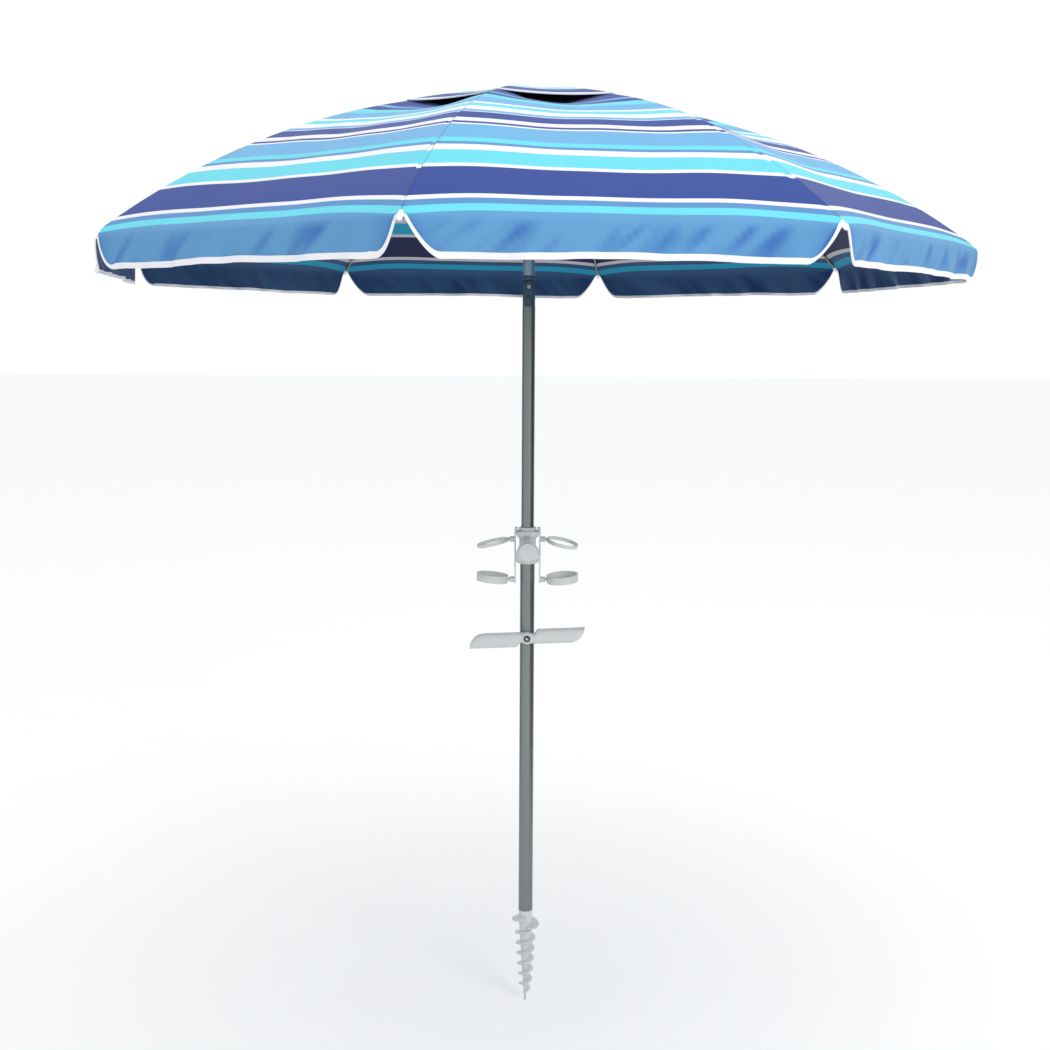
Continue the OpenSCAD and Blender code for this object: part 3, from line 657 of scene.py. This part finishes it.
def mouldedPiece(name, points, faces, body, node):
    # a grey plastic moulding that stands for a node and moves with its body
    mesh = bpy.data.meshes.new(name)
    mesh.from_pydata(points, [], faces)
    mesh.polygons.foreach_set("use_smooth", [True] * len(mesh.polygons))
    mesh.set_sharp_from_angle(angle=math.radians(50))
    mesh.materials.append(greyPolypropylene)
    piece = bpy.data.objects.new(name, mesh)
    bpy.context.scene.collection.objects.link(piece)
    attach(piece, body)
    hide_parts(node)


def meshFromRings(name, rings, body, node):
    # a closed solid skinned over rings of points, one after another, with both ends capped
    count = len(rings[0])
    points = [p for ring in rings for p in ring]
    faces = [(i * count + j, i * count + (j + 1) % count,
              (i + 1) * count + (j + 1) % count, (i + 1) * count + j)
             for i in range(len(rings) - 1) for j in range(count)]
    faces.append(tuple(reversed(range(count))))
    faces.append(tuple((len(rings) - 1) * count + j for j in range(count)))
    mouldedPiece(name, points, faces, body, node)


def jointPlace(name):
    return Vector(next(j["pos_m"] for j in frame["joints"] if j["name"] == name))


def frontPoint(centre, across, up, forward):
    # millimetres from a centre on the pole's axis: to the right, up, and towards the front
    return centre + Vector((across, -forward, up)) * millimetre


knob = {"firstLobe": 96, "reach": 19.5, "lobe": 12, "face": 20.3, "back": 32, "front": 61,
        "fillet": 3.0, "hub": 9, "hubLength": 3.5, "steps": 96, "fade": 1.8}


def knobRadius(angle, flare):
    # a rounded triangle at the back that turns into a circle at the face
    away = abs((angle - knob["firstLobe"] + 60) % 120 - 60)
    turn = math.radians(away)
    tangent = math.atan2(knob["lobe"] * math.sqrt(0.75), knob["reach"] + knob["lobe"] * 0.5)
    if turn > tangent:
        hull = (knob["reach"] * 0.5 + knob["lobe"]) / math.cos(math.radians(60 - away))
    else:
        hull = knob["reach"] * math.cos(turn) + math.sqrt(
            knob["lobe"] ** 2 - (knob["reach"] * math.sin(turn)) ** 2)
    return flare * hull + (1 - flare) * knob["face"]


def buildKnob():
    centre = jointPlace("clamp_turn")
    back, front, hub, fillet = knob["back"], knob["front"], knob["hub"], knob["fillet"]
    rim = back + 1.2
    # each level: how far forward, how triangular, and an inset (or above 0 its own radius)
    levels = [(back - knob["hubLength"], 0, hub), (back + 1.5, 0, hub + 0.5),
              (back + 1.6, 1, -4), (back + 0.3, 1, -1.2), (back, 1, -0.3)]
    levels += [(rim + (front - fillet - rim) * i / 12, 1 - (i / 12) ** knob["fade"], 0)
               for i in range(13)]
    for i in range(1, 7):
        turn = math.radians(15 * i)
        levels.append((front - fillet * (1 - math.sin(turn)), 0,
                       -fillet * (1 - math.cos(turn))))
    # the face is a very flat dome
    levels += [(front + 0.6, 0, -9.0), (front + 0.8, 0, -17.0)]
    rings = []
    for forward, flare, inset in levels:
        ring = []
        for step in range(knob["steps"]):
            angle = 360 * step / knob["steps"]
            radius = inset if inset > 0 else knobRadius(angle, flare) + inset
            turn = math.radians(angle)
            ring.append(frontPoint(centre, radius * math.cos(turn), radius * math.sin(turn),
                                   forward))
        rings.append(ring)
    meshFromRings("clampKnob", rings, "clamp_knob", "clamp_knob")


def lathe(name, profile, height, body, node):
    # a ring turned round the pole's axis from a closed outline of (radius, height) in mm
    steps, count = 96, len(profile)
    points = [Vector((r * math.cos(math.tau * i / steps), r * math.sin(math.tau * i / steps),
                      height + z)) * millimetre for i in range(steps) for r, z in profile]
    faces = [(i * count + j, (i + 1) % steps * count + j,
              (i + 1) % steps * count + (j + 1) % count, i * count + (j + 1) % count)
             for i in range(steps) for j in range(count)]
    mouldedPiece(name, points, faces, body, node)


clamp = {"top": 1104, "bowl": 25.4, "wall": 18.2, "bore": 16.1, "neck": 14.1, "step": 12,
         "lip": 1.2, "rim": 9.4, "waist": 26, "cup": 58.6, "cupTurn": 72, "foot": 81,
         "block": 14, "blockEdge": 2, "blockBack": 17, "blockFront": 27}


def quarterCurve(radius, depth, inset, drop, angles):
    # a quarter of an ellipse that turns inwards and down from a wall
    return [(radius - inset * (1 - math.cos(math.radians(a))),
             -depth - drop * math.sin(math.radians(a))) for a in angles]


def buildClamp():
    # heights are below the clamp's top: a lipped collar, a bowl round it, the long sleeve
    # on the pole and a solid foot behind the knob
    wall, bowl, bore, neck = clamp["wall"], clamp["bowl"], clamp["bore"], clamp["neck"]
    lip, rim, cup, foot = wall + clamp["lip"], clamp["rim"], clamp["cup"], clamp["foot"]
    outline = [(neck, 0), (wall + 0.2, 0), (lip, -0.6), (lip, -3.2), (wall + 0.2, -4.4),
               (wall, -5.4), (wall + 0.2, -11.4), (wall + 2.0, -12.2), (bowl - 2.6, 0.2 - rim),
               (bowl - 2.0, 0.8 - rim), (bowl - 0.5, 0.8 - rim), (bowl, -rim)]
    outline += quarterCurve(bowl, rim, 7.0, 15.0, range(12, 91, 13))
    outline += [(wall, -clamp["waist"]), (wall, -cup), (bowl - 3.2, 0.4 - cup),
                (bowl - 2.6, 1.0 - cup), (bowl - 1.0, 1.0 - cup), (bowl, -cup),
                (bowl, -clamp["cupTurn"])]
    outline += quarterCurve(bowl, clamp["cupTurn"], 6.0, 8.4, range(15, 91, 15))
    outline += [(wall, -foot), (bore, -foot), (bore, -clamp["step"]), (neck, -clamp["step"])]
    lathe("clampSleeve", outline[::-1], clamp["top"], "lower_mast", "clamp_body")
    centre = jointPlace("clamp_turn")
    inner, edge = clamp["block"] - clamp["blockEdge"], clamp["blockEdge"]
    corners = [(-inner, -inner), (inner, -inner), (inner, inner), (-inner, inner)]
    rounded = [(x + edge * math.cos(math.radians(a + q * 90 + 180)),
                z + edge * math.sin(math.radians(a + q * 90 + 180)))
               for q, (x, z) in enumerate(corners) for a in (0, 30, 60, 90)]
    rings = [[frontPoint(centre, x, z, forward) for x, z in rounded]
             for forward in (clamp["blockBack"], clamp["blockFront"])]
    meshFromRings("clampBlock", rings, "lower_mast", "clamp_body")


screw = {"pitch": 24.8, "coreTip": 3.4, "coreTop": 15.7, "foot": 15, "taperTop": 206,
         "steps": 48, "sunk": 0.7}
flight = {"start": 20, "turns": 6.4, "firstTurn": 234, "thick": 7.6, "runIn": 1.6,
          "outerTip": 14, "outerGrow": 12, "outerFoot": 14, "outerRun": 168}
wing = {"start": 179.6, "turns": 1, "firstTurn": 274, "thick": 9.6, "runIn": 6, "outer": 31.5}


def coreRadius(z):
    share = min(1, max(0, (z - screw["foot"]) / (screw["taperTop"] - screw["foot"])))
    return screw["coreTip"] + (screw["coreTop"] - screw["coreTip"]) * share


def flightRings(blades, outer):
    # one right-handed blade wound up the core: thick at the root, with a round rim
    rings, count = [], round(blades["turns"] * screw["steps"])
    for i in range(count + 1):
        angle = math.radians(blades["firstTurn"] + 360 * i / screw["steps"])
        z = blades["start"] + screw["pitch"] * i / screw["steps"]
        near = min(i, count - i) / screw["steps"]
        full = min(1, 0.12 + blades["runIn"] * near) ** 0.7
        root = coreRadius(z) - screw["sunk"]
        rim = root + (outer(z) - root) * full
        half = blades["thick"] / 2 * (0.55 + 0.45 * full)
        section = [(0, 1), (0.3, 0.86), (0.62, 0.68), (0.86, 0.52), (0.96, 0.3), (1, 0)]
        section += [(a, -b) for a, b in reversed(section[:-1])]
        rings.append([Vector(((root + (rim - root) * a) * math.cos(angle),
                              (root + (rim - root) * a) * math.sin(angle),
                              z + half * b)) * millimetre for a, b in section])
    return rings


def flightOuter(z):
    climbed = (z - flight["outerFoot"]) / flight["outerRun"]
    return flight["outerTip"] + flight["outerGrow"] * climbed ** 1.1


def buildFlight():
    lower = flightRings(flight, flightOuter)
    upper = flightRings(wing, lambda z: wing["outer"])
    meshFromRings("screwFlight", lower, "lower_mast", "anchor_flight")
    meshFromRings("screwWing", upper, "lower_mast", "anchor_flight")


blade = {"tilt": -2.3, "length": 129, "low": -14, "high": 20, "front": 30, "wall": 3.2,
         "bulge": 6.5, "round": 34, "neck": 17, "shoulder": 24, "neckHigh": 11,
         "neckLow": -11.5, "neckRun": 18, "plain": 94, "edge": 1.6, "hollow": 2.5}


def bladeEdges(along):
    # the lower and upper edge of the right-hand blade at a distance from the screw
    straight = blade["length"] - blade["round"] - 1
    low, high = blade["low"], blade["high"]
    if along > straight:
        rise = math.sqrt(max(0, blade["round"] ** 2 - (along - straight) ** 2))
        low = blade["high"] - rise
    if along < blade["shoulder"]:
        share = max(0, (along - blade["neck"]) / (blade["shoulder"] - blade["neck"]))
        high = blade["neckHigh"] + (blade["high"] - blade["neckHigh"]) * share
        low = blade["neckLow"] + (blade["low"] - blade["neckLow"]) * min(
            1, along / blade["neckRun"])
    return low, high


def buildHandle():
    centre = jointPlace("handle_turn")
    tilt = math.radians(-blade["tilt"])

    def place(across, up, forward, side):
        x, z = across * side, up * side
        return frontPoint(centre, x * math.cos(tilt) - z * math.sin(tilt),
                          x * math.sin(tilt) + z * math.cos(tilt), forward)

    # stations are close together at the neck and at the rounded end
    plain, end = blade["plain"], blade["length"] - 1.2
    for side in (1, -1):
        rings = []
        stations = [0, 8, 14, 17, 19, 21, 24] + [30 + (plain - 30) * i / 8 for i in range(9)]
        stations += [plain + (end - plain) * math.sin(math.radians(10 * i))
                     for i in range(1, 10)]
        for along in stations:
            low, high = bladeEdges(along)
            outer, inner = [], []
            for j in range(17):
                share = j / 16
                up = low + (high - low) * share
                crown = 1 - abs(2 * share - 1) ** 2.6
                edge = blade["edge"] * (1 - min(1, 8 * min(share, 1 - share)))
                face = blade["front"] - blade["bulge"] * (1 - crown)
                outer.append(place(along, up, face - edge, side))
                inner.append(place(along, low + (high - low) * (0.06 + 0.88 * share),
                                   face - blade["wall"] - blade["hollow"] * (1 - crown), side))
            rings.append(outer + inner[::-1])
        meshFromRings("handleBlade" + ("Right" if side > 0 else "Left"), rings,
                      "handle", "handle")
    profile = [(16.4, 12.2), (17.0, 13), (28.0, 13), (29.2, 12.4), (30.0, 11.2), (30.2, 10.2),
               (31.2, 9.9), (31.9, 9.2), (32.0, 8.2), (32.0, 3.4)]
    rings = [[frontPoint(centre, radius * math.cos(math.tau * i / 48),
                         radius * math.sin(math.tau * i / 48), forward) for i in range(48)]
             for forward, radius in profile]
    meshFromRings("handleHub", rings, "handle", "handle")


buildKnob()
buildClamp()
buildFlight()
buildHandle()
print("stage: plastic pieces made")

nodeFinish = {
    "sand_anchor": greyPolypropylene, "anchor_flight": greyPolypropylene,
    "anchor_tip": zincSteel, "lower_pole": coatedPole, "upper_pole": coatedPole,
    "top_pole": coatedTopPole, "handle": greyPolypropylene, "handle_washer": blackRubber,
    "handle_screw": zincSteel, "clamp_body": greyPolypropylene, "clamp_screw": zincSteel,
    "clamp_knob": greyPolypropylene, "hanger_strip_left": greyPolypropylene,
    "hanger_strip_right": greyPolypropylene, "cup_ring_upper_left": greyPolypropylene,
    "cup_ring_upper_right": greyPolypropylene, "cup_ring_lower_left": greyPolypropylene,
    "cup_ring_lower_right": greyPolypropylene, "tilt_lower_housing": slateAbs,
    "tilt_upper_housing": slateAbs, "tilt_rivet": zincSteel, "tilt_button": slateAbs,
    "runner": darkNylon, "runner_catch": slateAbs, "crown_hub": darkNylon,
    "crown_wire": zincSteel, "finial": whiteNylon,
}
for k in range(1, canopy["ribCount"] + 1):
    nodeFinish[f"rib_{k}"] = coatedRib
    nodeFinish[f"strut_{k}"] = coatedRib
    nodeFinish[f"tip_cap_{k}"] = whiteNylon
softEdges = {
    "hanger_strip_left": 0.7, "hanger_strip_right": 0.7,
    "cup_ring_upper_left": 0.9, "cup_ring_upper_right": 0.9, "cup_ring_lower_left": 0.7,
    "cup_ring_lower_right": 0.7, "tilt_button": 0.8, "tilt_lower_housing": 0.5,
    "tilt_upper_housing": 0.5, "runner": 0.8, "crown_hub": 0.8,
}
for name, finish in nodeFinish.items():
    node = frame["nodes"][name]
    node.data.materials.clear()
    node.data.materials.append(finish)
    if name in softEdges:
        joined = node.modifiers.new("joined", "WELD")
        joined.merge_threshold = 0.00001
        edge = node.modifiers.new("softEdge", "BEVEL")
        edge.width = softEdges[name] * millimetre
        edge.segments = 2
        edge.limit_method = "ANGLE"
        edge.angle_limit = math.radians(40)
        edge.harden_normals = True
print("stage: hard parts finished")

studio = {
    "cameraPlace": (-0.0058, -2.9509, 1.5047), "pitch": 7.652, "roll": 0.308,
    "focal": 46.32, "floorColour": "#F8F8F8", "floorHalf": 60.0, "worldColour": "#F6F7F8",
    "worldStrength": 1.1, "cardLow": 0.01, "cardHigh": 2.4,
}


def plainFloor(name, hexText):
    # matt white studio paper: no gloss, a faint tooth
    material, tree = startMaterial(name)
    place = addNode(tree, "TexCoord")
    tooth = addNode(tree, "TexNoise", {"Vector": place.outputs["Object"], "Scale": 4.0})
    tone = addNode(tree, "MapRange", {"Value": tooth.outputs["Fac"], "To Min": 0.99,
                                      "To Max": 1.0})
    colour = addNode(tree, "VectorMath", {
        0: linearColour(hexText)[:3], "Scale": tone.outputs[0]}, operation="SCALE")
    shader = addNode(tree, "BsdfPrincipled", {
        "Base Color": colour.outputs[0], "Roughness": 0.95, "Specular IOR Level": 0.0})
    endMaterial(tree, shader)
    return material


def addFloor():
    half = studio["floorHalf"]
    mesh = bpy.data.meshes.new("studioFloor")
    mesh.from_pydata([(-half, -half, 0), (half, -half, 0), (half, half, 0), (-half, half, 0)],
                     [], [(0, 1, 2, 3)])
    floor = bpy.data.objects.new("studioFloor", mesh)
    bpy.context.scene.collection.objects.link(floor)
    mesh.materials.append(plainFloor("mattStudioPaper", studio["floorColour"]))


def addSoftbox(name, place, target, size, power):
    lamp = bpy.data.lights.new(name, "AREA")
    lamp.shape = "RECTANGLE"
    lamp.size, lamp.size_y = size
    lamp.energy = power
    holder = bpy.data.objects.new(name, lamp)
    holder.location = place
    holder.rotation_euler = (Vector(target) - Vector(place)).to_track_quat("-Z", "Y").to_euler()
    bpy.context.scene.collection.objects.link(holder)


def addWorld():
    world = bpy.data.worlds.new("studioWorld")
    world.use_nodes = True
    tree = world.node_tree
    tree.nodes.clear()
    surround = addNode(tree, "Background", {
        "Color": linearColour(studio["worldColour"]), "Strength": studio["worldStrength"]})
    addNode(tree, "OutputWorld", {"Surface": surround.outputs[0]})
    bpy.context.scene.world = world


def addCard(name, x, near, far, hexText):
    # a dark card beside the object, seen only in reflections: it draws an edge on the poles
    low, high = studio["cardLow"], studio["cardHigh"]
    mesh = bpy.data.meshes.new(name)
    mesh.from_pydata([(x, near, low), (x, far, low), (x, far, high), (x, near, high)], [],
                     [(0, 1, 2, 3)])
    card = bpy.data.objects.new(name, mesh)
    bpy.context.scene.collection.objects.link(card)
    mesh.materials.append(plainFloor(name + "Felt", hexText))
    card.visible_camera = False
    card.visible_diffuse = False
    card.visible_shadow = False


def addCamera():
    camera = bpy.data.objects.new("camera", bpy.data.cameras.new("camera"))
    camera.data.sensor_width = 36
    camera.data.lens = studio["focal"]
    pitch, roll = math.radians(studio["pitch"]), math.radians(studio["roll"])
    forward = Vector((0, math.cos(pitch), -math.sin(pitch)))
    right, up = Vector((1, 0, 0)), Vector((0, math.sin(pitch), math.cos(pitch)))
    rolledRight = right * math.cos(roll) + up * math.sin(roll)
    rolledUp = up * math.cos(roll) - right * math.sin(roll)
    turn = Matrix((rolledRight, rolledUp, -forward)).transposed()
    camera.matrix_world = Matrix.Translation(studio["cameraPlace"]) @ turn.to_4x4()
    bpy.context.scene.collection.objects.link(camera)
    bpy.context.scene.camera = camera


addFloor()
addWorld()
addCard("rightCard", 1.5, -1.3, 1.0, "#101214")
addCard("leftCard", -1.5, 0.1, 1.0, "#3A3C40")
addSoftbox("keySoftbox", (2.9, -3.8, 3.2), (0, 0, 1.6), (2.2, 2.2), 62)
addSoftbox("topSoftbox", (0.3, -0.8, 5.0), (0, 0, 1.9), (3.0, 3.0), 25)
addCamera()
bpy.context.scene.view_settings.view_transform = "Standard"
print("stage: studio ready")
